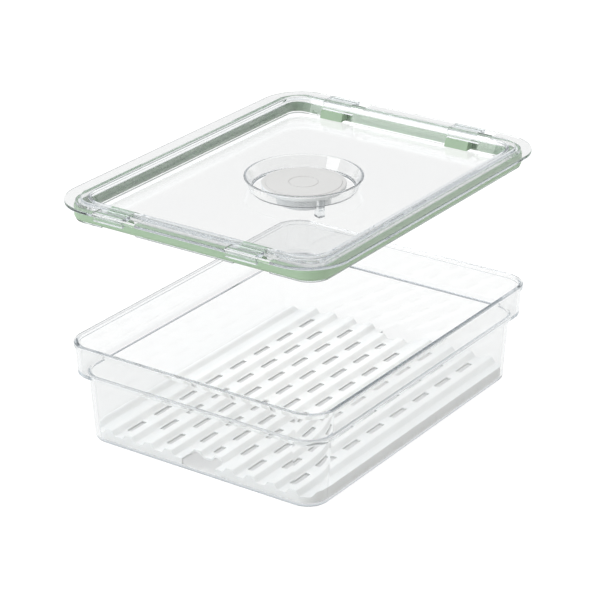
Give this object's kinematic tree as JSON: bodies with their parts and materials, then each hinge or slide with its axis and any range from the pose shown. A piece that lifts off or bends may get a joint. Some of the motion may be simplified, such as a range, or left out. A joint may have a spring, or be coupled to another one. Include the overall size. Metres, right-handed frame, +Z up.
{
  "type": "food storage container",
  "caption": "Clear rectangular food storage bin with a corrugated drain tray and a gasketed lid whose middle holds a turning vent dial, shown lifted off.",
  "frame": {"origin": "on the surface it stands on, under the middle of the bin", "axes": "+Y along the long side, +X along the short side, +Z up out of the bin"},
  "size_m": [0.2012, 0.259, 0.1625],
  "materials": {
    "clear_bin": "clear, polished",
    "white_tray": "fine satin, slightly translucent",
    "clear_lid": "clear, polished",
    "sage_gasket": "matt moulded silicone",
    "clear_clip": "clear, polished",
    "clear_cup": "clear, polished",
    "grey_vent": "satin moulded",
    "pale_face": "fine matt"
  },
  "bodies": {
    "container": {"bin": "clear_bin"},
    "tray": {"drain_tray": "white_tray"},
    "lid": {"lid_panel": "clear_lid", "lid_gasket": "sage_gasket", "lid_clip_1": "clear_clip", "lid_clip_2": "clear_clip", "lid_clip_3": "clear_clip", "lid_clip_4": "clear_clip", "vent_cup": "clear_cup", "vent_housing": "grey_vent", "vent_latch": "clear_clip"},
    "dial": {"vent_dial": "grey_vent", "dial_face": "pale_face", "vent_shutter": "grey_vent", "spindle_clip": "grey_vent"}
  },
  "joints": [
    {"name": "lid_lift", "type": "slide", "parent": "container", "child": "lid", "axis": [0, 0, 1], "range_m": [-0.092, 0]},
    {"name": "tray_lift", "type": "slide", "parent": "container", "child": "tray", "axis": [0, 0, 1], "range_m": [0, 0.068]},
    {"name": "dial_turn", "type": "hinge", "parent": "lid", "child": "dial", "pos_m": [0, 0, 0.15], "axis": [0, 0, 1], "range_deg": [0, 30]}
  ]
}
